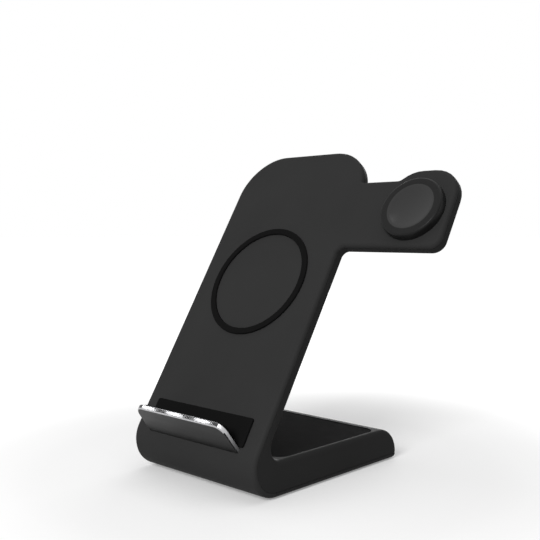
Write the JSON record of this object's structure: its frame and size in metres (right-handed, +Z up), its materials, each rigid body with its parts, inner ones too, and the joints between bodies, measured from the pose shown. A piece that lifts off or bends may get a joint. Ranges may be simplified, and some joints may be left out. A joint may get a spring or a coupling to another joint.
{
  "type": "wireless charging stand",
  "caption": "Folded charging stand: a flat base, a leaning plate with a metal lip for a phone, and a side arm with a round puck for a watch.",
  "frame": {"origin": "on the surface the stand rests on, under the middle of the base's width and depth", "axes": "+Z up, +Y towards the back of the base, +X towards the watch arm"},
  "size_m": [0.1294, 0.1074, 0.1486],
  "materials": {
    "housing": "satin black",
    "front_shell": "fine matt black",
    "foot_silicone": "matt",
    "silicone": "matt",
    "lip_metal": "dark anodised, polished edges",
    "puck": "gloss black",
    "steel": "plain",
    "copper": "enamelled copper wire",
    "ferrite": "matt grey",
    "board": "green solder mask",
    "chips": "matt",
    "flex": "amber film"
  },
  "bodies": {
    "root": {"main_housing": "housing", "front_shell": "front_shell", "bottom_cover": "housing", "foot_mat": "foot_silicone", "phone_lip": "lip_metal", "lip_pad": "silicone", "back_strip": "silicone", "grip_ring": "silicone", "earbud_mat": "silicone", "watch_puck": "puck", "puck_retainer": "steel", "watch_coil": "copper", "watch_ferrite": "ferrite", "watch_magnet": "steel", "phone_coil_upper": "copper", "phone_coil_lower": "copper", "phone_ferrite": "ferrite", "earbud_coil": "copper", "earbud_ferrite": "ferrite", "main_board": "board", "board_parts": "chips", "usb_socket": "steel", "ballast": "steel", "plate_flex": "flex", "watch_flex": "flex", "base_screws": "steel", "board_screws": "steel", "lip_screws": "steel"}
  },
  "joints": []
}
